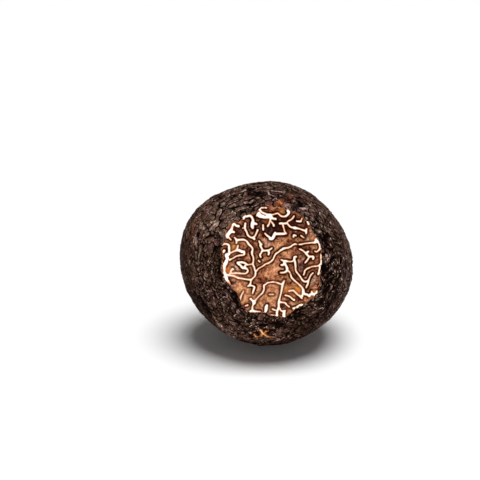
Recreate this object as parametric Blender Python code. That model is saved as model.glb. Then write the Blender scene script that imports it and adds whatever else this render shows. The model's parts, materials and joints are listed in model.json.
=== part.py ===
"""A black truffle with one slice taken off its front, lying on a small flat spot.

The truffle is one natural body: a lobed ball of about 45 mm. The slice leaves a flat, slightly
upturned face towards -Y. The origin is at the middle of the body's footprint, on the ground.
Blender 4.5, metres, +Z up.
"""

from math import cos, exp, radians, sin

import bmesh
import bpy
from mathutils import Vector

MM = 0.001

# The ball before it is cut: half its width, depth and height.
HALF_WIDTH = 21.7 * MM
HALF_DEPTH = 21.9 * MM
HALF_HEIGHT = 21.4 * MM
SPHERE_SUBDIVISIONS = 5

# Swellings and hollows of the ball: azimuth and elevation of the middle, in degrees from -Y
# towards +X and up from the ground, then height in millimetres and angular radius in degrees.
LOBES = (
    (-90.0, 33.0, 2.0, 21.0),  # shoulder high on the left
    (-90.0, -6.0, 1.1, 24.0),  # fuller left flank
    (90.0, 42.0, -1.2, 26.0),  # flattened high on the right
    (75.0, -55.0, -0.8, 22.0),  # tucked in below the right flank
    (180.0, 22.0, 0.9, 26.0),  # broad swelling at the back
    (142.0, -8.0, -1.2, 17.0),  # hollow low at the back, on the right
    (-150.0, 48.0, -1.1, 16.0),  # hollow high at the back, on the left
    (-148.0, -22.0, 0.8, 20.0),  # low swelling at the back, on the left
    (14.0, 60.0, 0.8, 15.0),  # brow over the slice
    (-36.0, 44.0, 0.4, 11.0),  # bump at the slice's upper left
    (-27.0, 0.0, -0.5, 11.0),  # dip at the slice's lower left
    (43.0, 12.0, -0.7, 13.0),  # right cheek beside the slice
)

# The slice: the way its face looks, and how far it lies from the middle of the ball.
SLICE_AZIMUTH = 3.5
SLICE_ELEVATION = 21.5
SLICE_DISTANCE = 17.5 * MM

# The flat spot that the truffle lies on.
SPOT_RADIUS = 4.8 * MM
SPOT_CENTRE = Vector((0.0, 0.6 * MM, 0.0))

WELD = 0.01 * MM
RIND_BROWN = (0.030, 0.019, 0.014, 1.0)
RIND_ROUGHNESS = 0.75


def direction(azimuth, elevation):
    """Unit vector for an azimuth from -Y towards +X and an elevation, both in degrees."""
    turn, rise = radians(azimuth), radians(elevation)
    return Vector((sin(turn) * cos(rise), -cos(turn) * cos(rise), sin(rise)))


def ball_point(outward):
    """Surface point of the lobed ball along a unit vector from its middle."""
    stretch = Vector(
        (outward.x / HALF_WIDTH, outward.y / HALF_DEPTH, outward.z / HALF_HEIGHT)
    )
    reach = 1.0 / stretch.length
    for azimuth, elevation, height, spread in LOBES:
        away = outward.angle(direction(azimuth, elevation)) / radians(spread)
        reach += height * MM * exp(-0.5 * away * away)
    return outward * reach


def cut_flat(mesh, point, normal):
    """Takes off what lies beyond a plane and closes the cut with one flat face."""
    everything = mesh.verts[:] + mesh.edges[:] + mesh.faces[:]
    made = bmesh.ops.bisect_plane(
        mesh,
        geom=everything,
        dist=WELD,
        plane_co=point,
        plane_no=normal,
        clear_outer=True,
    )
    cut = made["geom_cut"]
    for vertex in [item for item in cut if isinstance(item, bmesh.types.BMVert)]:
        vertex.co -= normal * (vertex.co - point).dot(normal)
    rim = [item for item in cut if isinstance(item, bmesh.types.BMEdge)]
    bmesh.ops.edgeloop_fill(mesh, edges=rim)


def footprint_middle(mesh):
    """Middle of the body's bounding box in X and Y, at its lowest Z."""
    spots = [vertex.co for vertex in mesh.verts]
    low = Vector([min(spot[axis] for spot in spots) for axis in range(3)])
    high = Vector([max(spot[axis] for spot in spots) for axis in range(3)])
    return Vector(((low.x + high.x) / 2, (low.y + high.y) / 2, low.z))


def rind_material():
    """Matt, near-black brown rind."""
    material = bpy.data.materials.new("truffle_rind")
    material.use_nodes = True
    shader = material.node_tree.nodes["Principled BSDF"]
    shader.inputs["Base Color"].default_value = RIND_BROWN
    shader.inputs["Roughness"].default_value = RIND_ROUGHNESS
    shader.inputs["Metallic"].default_value = 0.0
    return material


def make_truffle(collection):
    """Lobed ball, sliced on its front, with a flat spot underneath."""
    bpy.ops.mesh.primitive_ico_sphere_add(
        subdivisions=SPHERE_SUBDIVISIONS, radius=1.0, location=(0.0, 0.0, 0.0)
    )
    truffle = bpy.context.object
    truffle.name = truffle.data.name = "truffle"
    for owner in list(truffle.users_collection):
        owner.objects.unlink(truffle)
    collection.objects.link(truffle)

    body = bmesh.new()
    body.from_mesh(truffle.data)
    for vertex in body.verts:
        vertex.co = ball_point(vertex.co.normalized())

    slice_normal = direction(SLICE_AZIMUTH, SLICE_ELEVATION)
    cut_flat(body, slice_normal * SLICE_DISTANCE, slice_normal)

    # The plane under the ball is as high as it needs to be for a spot of this radius.
    below = Vector((0.0, 0.0, -1.0))
    spot_rim = [
        (SPOT_CENTRE + SPOT_RADIUS * direction(turn, 0.0)) + below * HALF_HEIGHT
        for turn in range(0, 360, 30)
    ]
    depth = sum(-ball_point(point.normalized()).z for point in spot_rim) / len(spot_rim)
    cut_flat(body, below * depth, below)

    bmesh.ops.translate(body, verts=body.verts[:], vec=-footprint_middle(body))
    bmesh.ops.recalc_face_normals(body, faces=body.faces[:])
    body.to_mesh(truffle.data)
    body.free()

    truffle.data.shade_smooth()
    truffle.data.set_sharp_from_angle(angle=radians(35.0))
    truffle.data.materials.append(rind_material())
    return truffle


def main():
    for old in list(bpy.data.objects):
        bpy.data.objects.remove(old, do_unlink=True)
    collection = bpy.data.collections.new("black_truffle")
    bpy.context.scene.collection.children.link(collection)
    make_truffle(collection)


main()
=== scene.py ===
"""A black truffle with a slice off its front, lying on a white table.

The truffle is one closed piece. Its rind is a net of low warts parted by cracks, pressed onto the
frame's solid, and its cut face is moist flesh with pale veins. The frame is in metres, +Z up. The
numbers here are millimetres until they meet it.
"""

import json
from math import cos, pi, radians, sin, sqrt

import bmesh
import bpy
import numpy as np
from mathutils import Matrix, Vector, geometry, noise
from mathutils.bvhtree import BVHTree
from mathutils.kdtree import KDTree

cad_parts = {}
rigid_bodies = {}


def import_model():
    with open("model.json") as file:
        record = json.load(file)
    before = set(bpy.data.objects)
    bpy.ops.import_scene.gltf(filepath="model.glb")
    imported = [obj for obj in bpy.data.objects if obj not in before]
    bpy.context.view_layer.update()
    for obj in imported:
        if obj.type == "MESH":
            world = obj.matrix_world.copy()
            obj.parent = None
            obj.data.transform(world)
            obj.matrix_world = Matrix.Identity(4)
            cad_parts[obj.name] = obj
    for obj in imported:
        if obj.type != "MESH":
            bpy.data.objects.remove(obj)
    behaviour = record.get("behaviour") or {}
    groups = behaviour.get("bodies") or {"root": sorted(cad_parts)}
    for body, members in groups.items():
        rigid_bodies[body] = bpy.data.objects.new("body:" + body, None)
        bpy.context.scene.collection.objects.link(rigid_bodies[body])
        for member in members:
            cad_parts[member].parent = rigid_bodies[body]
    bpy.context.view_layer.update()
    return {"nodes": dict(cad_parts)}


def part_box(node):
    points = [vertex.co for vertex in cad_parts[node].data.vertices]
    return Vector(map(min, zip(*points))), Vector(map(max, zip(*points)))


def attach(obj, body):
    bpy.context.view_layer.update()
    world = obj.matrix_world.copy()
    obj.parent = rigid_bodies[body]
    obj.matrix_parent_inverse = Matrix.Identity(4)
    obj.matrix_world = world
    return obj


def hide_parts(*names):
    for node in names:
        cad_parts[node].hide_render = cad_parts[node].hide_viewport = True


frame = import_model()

MM = 0.001
NODE = "truffle"
SEED = 45
SAME_PLACE = 0.001 * MM  # points closer than this are one
LEAST = 1e-12  # stands in for the length of a line that is one point

# ---- the net of warts, in millimetres
BALL = 21.9  # radius of the ball that the warts are made on
SEEDING = 7  # level of the starting ball, which puts its points 0.4 mm apart
WART = 0.98  # least distance between the middles of two warts
SIZE_SPREAD = 0.22  # how far single warts differ in size
SIZE_DRIFT = 0.16  # and how far their size drifts from place to place
STRAY = 0.10  # how far a wart strays from its place, as a share of its size
GRAIN_STRETCH = 1.28  # warts are this much longer round the cut than towards it
GROWN_TOGETHER = 0.28  # share of the cracks across that grain that close up
CRACK = 0.165  # half the width of a crack
SHOULDER = 0.17  # width of the slope between a wart's edge and its top
ROOMY = 0.42  # a wart top larger than this, in square millimetres, gets a shoulder
STOREY = 0.30  # the net's levels are built this far apart, and get their real heights when pressed on

# ---- relief of the rind, in millimetres
SHALLOW = 0.03  # depth of a closed crack
CRACK_DEPTH, PIT_DEPTH, FURROW_DEPTH = 0.30, 0.26, 0.55
EDGE_RISE = 0.045  # how far the edges of the warts curl up
EDGE_DROP = 0.03  # how far a shoulder is under its top
PEAK = 0.06  # extra height of the tip of a pointed wart
UNEVEN = 0.03  # how far warts differ in height
ROUGH = 0.03  # how uneven one wart is
LEAN = 0.08  # how far the warts' tops tilt
LEAN_LEAST, LEAN_MOST = -0.15, 0.09  # limits of that tilt, so that no wart stands out like a thorn
LUMPS, SMALL_LUMPS = 0.13, 0.08  # low swellings several millimetres across, and smaller ones on them
RIM_CALM = 0.55  # how much of the relief is pared away at the cut
RIM_BAND = 1.6  # how far past the rim that reaches
RIM_SWELL = 0.06  # how far the rind stands up there
LIFT_BAND = 4.5  # how far past the rim the body is drawn out to meet the cut's outline
# Sizes of the soft noise, as shares of the ball's radius.
DRIFT_SIZE, LUMP_SIZE, SMALL_LUMP_SIZE, OPENING_SIZE, ROUGH_SIZE = 0.25, 0.2, 0.08, 0.06, 0.016
# How far cracks are open, from 0 to 1, how much that drifts and scatters, and what it is where the rind is
# smooth or rugged. Past GAPE, the edges beside the crack break away as well.
OPENING, OPENING_DRIFT, OPENING_SCATTER = 0.85, 1.3, 0.7
SMOOTH_CLOSES, RUGGED_OPENS = 0.8, 0.2
GAPE, GAPE_RATE = 1.2, 2  # where that starts, and how fast it comes
EDGE_BREAK = 0.6  # how far such an edge sinks, as a share of the crack's depth
# Shares of the warts that are pitted, that are pitted as well where the rind is rugged, and that are pointed.
PITTED, PITTED_RUGGED, POINTED = 0.01, 0.30, 0.3
PIT_SHARE = (0.3, 0.9)  # least and most of the full depth that a pit has
EDGE_PIT = 0.3  # how far a pitted wart's edge sinks, as a share of the pit
CURL_MEAN = 0.4  # edges curl up more often than down
CROWN = 0.02  # how far the middle of a top stands over its edge

# ---- painted highlights on the warts' raised edges and tips
HIGHLIGHT, HIGHLIGHT_MEAN, HIGHLIGHT_SPREAD, HIGHLIGHT_MOST = 1.3, -0.25, 0.85, 1.3  # how strongly a tilted wart's raised edge is painted with highlight
HIGHLIGHT_PLAIN, HIGHLIGHT_RUGGED = 0.8, 1.2  # how much of that shows, and how much more where the rind is rugged
CALM_HIDES, PIT_HIDES, TIP_HIDES = 0.7, 0.7, 0.6  # how much of it a smooth, pitted or pointed wart loses
TIP_MEAN, TIP_SPREAD = 0.5, 0.4  # how bright the painted highlights on the tips of pointed warts are
SHOULDER_TIP, SHOULDER_LIT = 0.25, 0.15  # how much of its tip's and its edge's painted highlight a shoulder has
CLOSED_LIGHT = 0.4  # how pale a closed crack is

# ---- cut face, in millimetres
GRAIN = 0.20  # between the points of the flesh
VEIN_STEP = 0.16  # between the points along a vein
VEIN_FULLNESS = 0.80  # veins are this much of the width that is drawn below
FLESH_SCALE = 0.94  # size of the drawing on the cut face, and how far it is moved
FLESH_SHIFT = (-0.87, -1.05)
VEIN_ROOM, RIM_ROOM = GRAIN * 0.5, GRAIN * 0.6  # how far the lattice stays off the veins and the rim
VEIN_END = VEIN_STEP * 0.75  # a vein ends this far inside the rim
CORNERS_MEET = 1e-4  # corners of the flesh closer than this are one
LEAST_TURN = 3e-4  # radians between neighbours on the rim
BATCH = 2000  # points that are measured against every vein at once

# ---- where the truffle is looked at from
LOOK_RISE = radians(20)  # marks are placed as seen from the front and this far up
LOOK_FROM = 295.0  # how far off the eye is
CENTRE_DROP = 0.63  # the marks' zero is this far under the middle
AIM = (-6.898, 5.362)  # how far right of and above the middle the camera looks
OUTWARD = Vector((0, -cos(LOOK_RISE), sin(LOOK_RISE)))
RIGHT = Vector((1, 0, 0))
UPWARD = OUTWARD.cross(RIGHT)

# ---- the flat map laid out for baking the finish on
RIND_MAP = 0.40  # radius of the rind's map, as a share of the sheet
FLESH_MAP = 0.17  # radius of the flesh's map
MAP_EDGE = 0.005  # left free beside the maps
MAP_CROWDING = 1.2  # more than 1 gives the rind beside the cut more room than the rind behind

# ---- grain of the finishes
# Each is the size of its lumps in millimetres, detail, roughness and distortion. Anything under about
# 0.4 mm is too fine to show, so the finest are drawn that coarse.
RIND_GRAINS = (
    (0.667, 3, 0.7, 0.5),  # streak: dry fibres of the skin, really about 0.1 mm
    (0.526, 0, 0.5, 0),  # sprinkle: rubbed flecks, as small as a grain of sand
    (5.88, 2, 0.5, 0),  # patch: hue that changes over several warts
    (0.870, 0, 0.5, 0),  # speck: hue that changes within one wart
    (0.385, 3, 0.6, 0),  # nap: the skin's tiny bumps, really about 0.05 mm
)
FLESH_GRAINS = (
    (0.690, 4, 0.8, 0),  # grain: pockets of spores, really about 0.1 mm
    (2.38, 2, 0.5, 0),  # ragged: cloudy patches as wide as the space between two veins
    (1.54, 2, 0.5, 0),  # patch: hue within a cloud
    (3.03, 1, 0.5, 0),  # depth: how dark the skin beside a vein is along it
    (0.769, 1, 0.5, 0),  # nibble: the veins' uneven edges
)
NAP_DEPTH = 0.12  # how deep the nap is

# ---- table and lights, in metres and watts, and a sun in watts per square metre
TABLE_WIDTH, TABLE_WHITE, ROOM_WHITE = 6.0, "FDFDFD", "FFFFFF"
ROOM_LIGHT = 0.04  # how much the white room lights the truffle, where 1 is how bright it looks
SHADE_WAY = (-0.14, 0.04, -1)  # which way the light from above falls
# Each lamp is a name, a kind, its power, its place, what it is aimed at, and its shape.
LAMPS = (
    ("soft_overhead", "SUN", 2.85, (0, 0, 0), SHADE_WAY, {"angle": radians(38)}),
    ("wide_overhead", "SUN", 0.25, (0, 0, 0), SHADE_WAY, {"angle": radians(120)}),
    (
        "front", "AREA", 2.1, (-0.22, -0.56, 0.04), (0, 0, 0.02),
        {"shape": "RECTANGLE", "size": 0.6, "size_y": 0.07},
    ),
)

# ---- drawing of the cut and the rind
# The cut's outline, as (right, up) on the cut face from the front.
OUTLINE = (
    (-2, 14.5), (0, 14.7), (3, 15), (5, 14.3), (7, 13.3), (9, 12.5), (11, 10.7), (12, 8.2), (13, 6.4),
    (14.2, 5), (14.4, 3), (14.4, 0), (14, -3), (13.8, -5), (13.3, -7.5), (12, -9), (10, -10.5), (8, -11.6),
    (6.5, -12.7), (5, -14), (2.6, -14.1), (0, -13.2), (-2, -12.9), (-4.5, -12.8), (-6, -11.7), (-7, -10.8),
    (-6.9, -10), (-7.5, -9.4), (-7.5, -8.3), (-8.4, -7.7), (-8.8, -7), (-9.5, -6), (-10.5, -4.8),
    (-11.3, -4), (-11.7, -2), (-11.7, 0), (-11.7, 2), (-12, 3.5), (-11.8, 5), (-10.9, 6), (-11, 7.5),
    (-10.2, 9.5), (-8.8, 10.9), (-7, 11.2), (-6.3, 12.4), (-4, 13.1), (-2.5, 13.5),
)
# Each vein is a line of (right, up, half its width), drawn on the cut face from the front.
VEINS = (
    # the long diagonal, and the hook where it meets the rind
    ((-2.8, -2, .15), (-2.3, -1.4, .12), (-1.6, -1, .12), (-.9, -.6, .12), (-.4, -.2, .12), (.3, 0, .15),
     (.6, .2, .15), (1.1, .5, .15), (1.6, 1, .15), (1.8, 1.5, .13), (2.1, 2.1, .15), (2.3, 2.4, .15),
     (2.9, 2.8, .15), (3.6, 3.3, .17), (4.3, 3.7, .25), (4.9, 3.9, .2), (5.6, 4, .15), (6.3, 4.3, .15),
     (6.8, 4.7, .17), (7.4, 4.9, .2), (7.8, 4.8, .12)),
    ((8.4, 4.8, .1), (9, 4.8, .15), (9.8, 5, .12), (10.8, 5.1, .12), (11.7, 5.2, .12), (12.5, 5.3, .25),
     (12.9, 5.6, .35), (12.8, 6, .3)),
    ((12.9, 5.6, .35), (13.3, 5.5, .35), (13.7, 5, .25), (13.8, 4.3, .2), (13.8, 3.7, .17),
     (13.4, 3.1, .17), (12.9, 2.8, .15), (12.5, 3, .1)),
    # down the left
    ((-8.4, 6.8, .12), (-8, 6.4, .2), (-7.8, 6.1, .3), (-7, 6.2, .22), (-6.2, 6.2, .2), (-5.5, 6, .2),
     (-5, 5.5, .22), (-4.7, 5, .22), (-4, 4.3, .2), (-3.7, 3.7, .2), (-3.8, 3.2, .25), (-3.9, 2.7, .25),
     (-3.9, 2.4, .17), (-3.6, 1.7, .17), (-3.5, 1, .15), (-3.6, .3, .17), (-3.7, -.2, .2), (-3.4, -.9, .15),
     (-3.2, -1.7, .15), (-3, -2.3, .2), (-3.1, -2.9, .17), (-3.2, -3.3, .15), (-3.7, -3.8, .15),
     (-4.2, -4.3, .22), (-4.3, -4.9, .15), (-4.5, -5.5, .25)),
    ((-5.1, -5.9, .1), (-4.5, -5.7, .2), (-3.9, -5.8, .15), (-3.4, -6.1, .2), (-3.5, -6.6, .25),
     (-3.7, -7.2, .17), (-3.9, -7.8, .13)),
    ((-7.8, 6.1, .25), (-7.9, 5.3, .15)),
    ((-10, -3, .25), (-9, -3.1, .2), (-8.4, -3.3, .2), (-7.6, -3.7, .2), (-6.5, -3.9, .17),
     (-5.5, -4.1, .15), (-4.8, -4.2, .15), (-4.3, -4.2, .22)),
    # along the left rim
    ((-11.6, 4.8, .15), (-11, 5.1, .15), (-10.4, 5.1, .2), (-9.9, 4.8, .25), (-9.8, 4, .25),
     (-9.8, 3.2, .25), (-9.8, 2.6, .3), (-10.4, 2.2, .5), (-10.3, 1.5, .4), (-10.5, .8, .4),
     (-10.7, .2, .5), (-11, -.4, .4), (-11.1, -1.2, .3), (-11.1, -2, .3), (-10.9, -2.7, .35),
     (-10.7, -3.3, .4), (-10.6, -4, .4), (-10.6, -4.4, .3)),
    ((-10.2, -4.3, .15), (-9.9, -4.9, .15), (-9.7, -5.2, .1)),
    ((-11.1, 3.4, .3), (-11.3, 3, .2)),
    ((-10.3, -2.9, .25), (-9.8, -2.8, .25), (-9.5, -2.2, .2), (-9.3, -1.7, .2), (-9, -1.4, .25),
     (-8.8, -1.5, .2)),
    # the folds and the eye inside the left rim
    ((-7.5, 4.6, .2), (-7.7, 4, .2), (-7.8, 3.5, .3), (-7.2, 3.4, .3), (-6.5, 3.1, .35), (-6, 3, .3),
     (-5.9, 2.5, .25), (-6.1, 2.2, .15), (-7.2, 2.1, .15), (-8, 1.9, .13), (-8.8, 1.4, .12),
     (-9.3, 1.2, .15), (-9.7, 1, .25)),
    ((-7.8, 3.5, .25), (-8.6, 3.2, .18), (-9.2, 2.9, .15), (-9.7, 2.7, .15)),
    ((-7.6, .2, .3), (-7, .3, .25), (-6.3, .3, .2), (-5.7, .1, .2), (-5.2, -.3, .2), (-4.6, -.3, .1),
     (-4, -.15, .1)),
    ((-7.5, 0, .25), (-7, -.4, .25), (-6.5, -1, .3), (-6, -1.1, .35), (-5.7, -.6, .2)),
    ((-9.5, -2.5, .2), (-8.5, -2.5, .2), (-7.5, -2.5, .17), (-6.5, -2.6, .15), (-5.7, -2.6, .15),
     (-5.2, -2.3, .17), (-5, -1.8, .17), (-5.3, -1.4, .2), (-5.7, -1.2, .3)),
    # upper left
    ((-7.3, 9.7, .3), (-7.9, 9.9, .25), (-8.5, 10.3, .28), (-8.9, 9.6, .25), (-9.2, 8.8, .35),
     (-9.6, 8.2, .45), (-10.1, 7.5, .45), (-10.2, 6.9, .35)),
    ((-9.2, 8.4, .25), (-8.5, 8.2, .25)),
    ((-9.9, 6.8, .15), (-9.3, 6.2, .12)),
    ((-6, 11.7, .3), (-5.7, 12.2, .3), (-5, 12.3, .25), (-4.3, 12.4, .25), (-3.8, 12, .25),
     (-3.5, 11.2, .28), (-3.6, 10.6, .4), (-3.7, 9.8, .45), (-3.6, 9.2, .25)),
    ((-3.2, 10.4, .35), (-2.6, 10.2, .2)),
    ((-5.5, 10.4, .2), (-5.6, 9.6, .25), (-5.6, 9, .2), (-5.2, 8.2, .17), (-4.9, 7.4, .17),
     (-4.4, 6.9, .17), (-3.9, 6.7, .2), (-3.4, 6.6, .3), (-3.2, 6.3, .25)),
    ((-3.4, 6.8, .15), (-3, 7.2, .17), (-2.6, 8, .17), (-2.3, 8.7, .15)),
    ((-6.2, 9.2, .1), (-5.7, 9.3, .1)),
    # the thick one at the top
    ((-1.8, 14.4, .3), (-1.7, 13.9, .25)),
    ((-1.8, 14.4, .15), (-.6, 14.5, .15), (0, 14.4, .15)),
    ((-1.7, 13.9, .2), (-1.2, 13.3, .2), (-.6, 13, .2), (.1, 12.7, .2), (.8, 12.6, .25), (1.5, 12.6, .15),
     (2.2, 12.8, .12), (3, 12.95, .15), (3.4, 12.6, .15), (3.9, 12.2, .17), (4.5, 12.1, .17),
     (5.1, 12.2, .2), (5.6, 12.6, .25), (5.9, 13.2, .32), (5.6, 13.6, .32)),
    ((-2.4, 12.4, .25), (-1.9, 13, .4), (-1.8, 12.4, .5), (-1.3, 12.3, .5), (-.5, 12, .4), (.2, 12.1, .45),
     (.9, 12.1, .5), (1.3, 11.9, .35), (1.7, 11.6, .25), (2.4, 11.5, .25)),
    ((-.9, 9.9, .2), (-.9, 8.7, .18)),
    ((.3, 9.6, .15), (.4, 9.8, .22), (.7, 10.3, .15), (.9, 11, .15), (1.1, 11.6, .3)),
    ((1.1, 10.9, .12), (1.5, 10.5, .15), (1.9, 9.9, .22), (1.9, 9.7, .2)),
    # upper right
    ((3.5, 10.3, .25), (3.9, 10.3, .25), (4.5, 10.3, .2), (5.1, 10.3, .2), (5.4, 10.5, .17),
     (5.7, 10.9, .13), (6.3, 11.2, .15), (6.8, 11.6, .15), (7.2, 12.2, .15)),
    ((4.2, 10.1, .15), (4.4, 9.4, .13), (4.6, 8.6, .12), (4.8, 8, .17), (5.1, 7.7, .2)),
    ((5, 7.7, .25), (4.2, 7.6, .25), (3.3, 7.6, .28), (2.5, 7.6, .3), (2.1, 7.5, .35), (1.8, 6.9, .35),
     (1.4, 6.4, .35), (.9, 6.4, .35)),
    ((2.1, 7.6, .2), (2.2, 7.9, .2)),
    ((.9, 6.5, .3), (.5, 6.9, .2), (0, 7.3, .18), (-.4, 7.7, .18)),
    ((5.4, 10.3, .2), (5.8, 9.8, .15), (6.2, 9.4, .15), (6.8, 9.2, .2), (7.4, 9.1, .35), (8, 9, .2),
     (8.8, 8.8, .15), (9.5, 8.5, .17), (10.1, 8.3, .25)),
    ((10.4, 8.8, .2), (10.3, 8.2, .25), (10.3, 7.7, .2)),
    ((7.9, 10.85, .17), (8.5, 10.8, .17), (8.95, 10.8, .2), (9.1, 11.2, .1), (9.3, 11.6, .08)),
    ((10.65, 11, .2), (10.8, 10.5, .25), (11, 10, .2)),
    ((7.6, 7.1, .15), (7.1, 7.2, .2), (7, 6.7, .12)),
    ((8.9, 7.1, .08), (9.3, 6.8, .15), (9.7, 6.5, .08)),
    # above the diagonal
    ((-2, 5.8, .15), (-1.7, 5.2, .2), (-1.4, 4.9, .22), (-1.7, 4.7, .25), (-1.5, 4.2, .2), (-1.2, 3.6, .2),
     (-1, 3.3, .25), (-.3, 3.3, .2), (.3, 3.3, .25), (.5, 3.4, .2), (.9, 3.6, .15), (1.3, 3.9, .1)),
    ((.5, 3.3, .22), (.5, 2.7, .22), (.4, 2.2, .15)),
    ((-1.2, 3.3, .2), (-1.5, 2.7, .17), (-1.8, 2.2, .17), (-1.6, 1.6, .15)),
    ((-2.2, .7, .15), (-1.9, .4, .15)),
    # the branching pair below it, running down to the lower right
    ((3.7, .85, .12), (4.2, .6, .2), (4.8, .5, .25), (5.5, .4, .15), (6.2, .35, .12), (6.8, .5, .15),
     (7.1, .9, .25), (7.2, 1.5, .25), (7.6, 1.6, .2)),
    ((4.5, .5, .3), (4.5, 0, .3), (4.2, -.5, .25), (3.7, -.5, .2)),
    ((4.7, -.3, .3), (5, -.9, .22), (5.2, -1.4, .3), (5.2, -1.9, .25), (4.8, -2.3, .22), (4.2, -2.5, .2),
     (3.5, -2.5, .17)),
    ((5.4, -1.9, .15), (5.9, -2.5, .13), (6.1, -3.1, .13), (6.3, -3.8, .17), (6.7, -4.2, .17),
     (7.4, -4.9, .17), (8.2, -5.6, .17), (8.9, -6.3, .2), (9.3, -7, .25), (9.3, -7.6, .35), (9.6, -8.1, .3),
     (10.3, -8.3, .25), (10.9, -8.7, .25), (11.1, -8.3, .25), (11.7, -8.2, .25), (12.2, -8.2, .35),
     (12.7, -8.1, .3), (12.8, -7.4, .2)),
    ((11.5, -7.5, .2), (11.6, -7.9, .3)),
    ((7.2, .6, .2), (7.3, 0, .2), (7.4, -.8, .2), (7.4, -1.5, .17), (7.5, -2.1, .15), (7.9, -2.7, .15),
     (8.5, -3.5, .15), (9, -4.3, .17), (9.5, -4.8, .2), (10.1, -4.9, .2), (10.6, -4.8, .22),
     (10.8, -4.4, .15), (11.1, -3.7, .12), (11.4, -3.2, .15), (11.9, -2.7, .12)),
    ((10.6, -5.1, .2), (10.5, -5.6, .17), (10.2, -6.1, .15), (10.1, -6.5, .1)),
    # the star, and the right rim
    ((8.5, 3.6, .1), (8.9, 3.4, .2), (9.3, 3.2, .15), (9.8, 2.8, .15), (10.2, 2.5, .25), (10.5, 2.7, .25),
     (10.8, 2.9, .2)),
    ((10.3, 2.3, .3), (10.6, 1.9, .2), (11, 1.6, .25), (11.5, 1.6, .25), (12.1, 1.5, .25), (12, 1, .22)),
    ((11, 1.5, .15), (10.7, 1, .15), (10.3, .4, .15), (9.9, 0, .12)),
    ((14.05, 2.2, .15), (14.05, 1.2, .15), (14.1, .3, .15), (14.05, -.4, .2), (13.7, -.7, .25),
     (13.75, -1.3, .2), (13.6, -1.8, .22), (13.5, -2.4, .15), (13.3, -3, .25)),
    ((13.5, -.8, .15), (12.6, -.95, .12), (11.8, -1, .12), (11, -1.3, .15), (10.3, -1.6, .15),
     (9.8, -2.1, .15), (9.7, -2.6, .15), (9.5, -3.1, .15)),
    ((13.9, -5.1, .1), (13.6, -5.8, .08)),
    # the arch at the bottom, with its two legs
    ((-.9, -5.7, .2), (-.5, -5.5, .15), (0, -5.1, .15), (.8, -4.95, .12), (1.8, -4.9, .12),
     (2.6, -5.1, .12), (3.3, -5.4, .15), (3.9, -5.5, .3), (4.2, -5, .22), (4.4, -4.6, .15)),
    ((-.9, -5.7, .2), (-.9, -6.7, .15), (-1.1, -7.3, .17), (-1.4, -7.8, .15), (-2, -8.3, .12),
     (-2.5, -8.8, .12), (-2.9, -9.3, .12), (-3.3, -9.7, .2), (-3.5, -10.2, .4)),
    ((3.9, -5.9, .25), (3.7, -6.8, .2), (3.6, -7.5, .17), (3.4, -8.3, .13), (3.2, -9, .12), (3, -9.7, .25),
     (2.9, -10.5, .25), (2.85, -11.5, .25), (2.6, -12.2, .25), (2.35, -13, .25), (2.4, -13.6, .25),
     (1.8, -13.7, .25), (1, -13.5, .15), (.1, -13.6, .1)),
    ((1.2, -11.9, .1), (1.9, -12.2, .12), (2.5, -12.3, .12)),
    ((.5, -8.1, .12), (1.5, -8.1, .12)),
    ((3.2, -10.1, .25), (3.9, -10.2, .17), (4.6, -10.4, .2), (5, -10.9, .15), (5.6, -11.4, .12)),
    ((3.2, -11.8, .15), (3.4, -12.3, .15), (3.9, -12.5, .17), (4.5, -12.4, .2)),
    ((4.2, -12.6, .35), (4.2, -13.8, .35)),
    ((5.6, -7.3, .15), (6.1, -7.2, .2), (6.7, -7.2, .2), (7.2, -7.6, .2), (7.8, -8.2, .17), (8.4, -8.6, .2),
     (8.9, -9.2, .2)),
    ((9, -8.6, .25), (9.2, -8, .25)),
    ((4.6, -8.4, .15), (5.2, -8.5, .15), (5.9, -8.8, .15), (6.4, -9.3, .15), (6.9, -9.6, .22)),
    ((-4.4, -9.2, .25), (-4, -9.6, .25), (-3.5, -10.1, .45), (-3.8, -10.8, .15), (-4, -11.5, .15),
     (-4, -12.1, .25), (-4.4, -12.4, .3)),
    ((-4, -12.1, .25), (-3.6, -12.4, .3), (-2.8, -12.5, .15), (-2, -12.5, .12)),
    ((-6.2, -7.2, .17), (-6.6, -7.9, .15), (-6.9, -8.6, .13), (-7.1, -9.3, .12)),
    ((-5.8, -11, .12), (-5.2, -10.8, .2)),
    ((-.2, -10.9, .25), (-.4, -11.6, .4), (-.5, -12.2, .35), (-.7, -12.6, .2)),
    ((6.7, -11.8, .3), (7.3, -11.7, .25), (8, -11.2, .2), (8.8, -10.9, .2), (9.4, -10.9, .12)),
)
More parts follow.
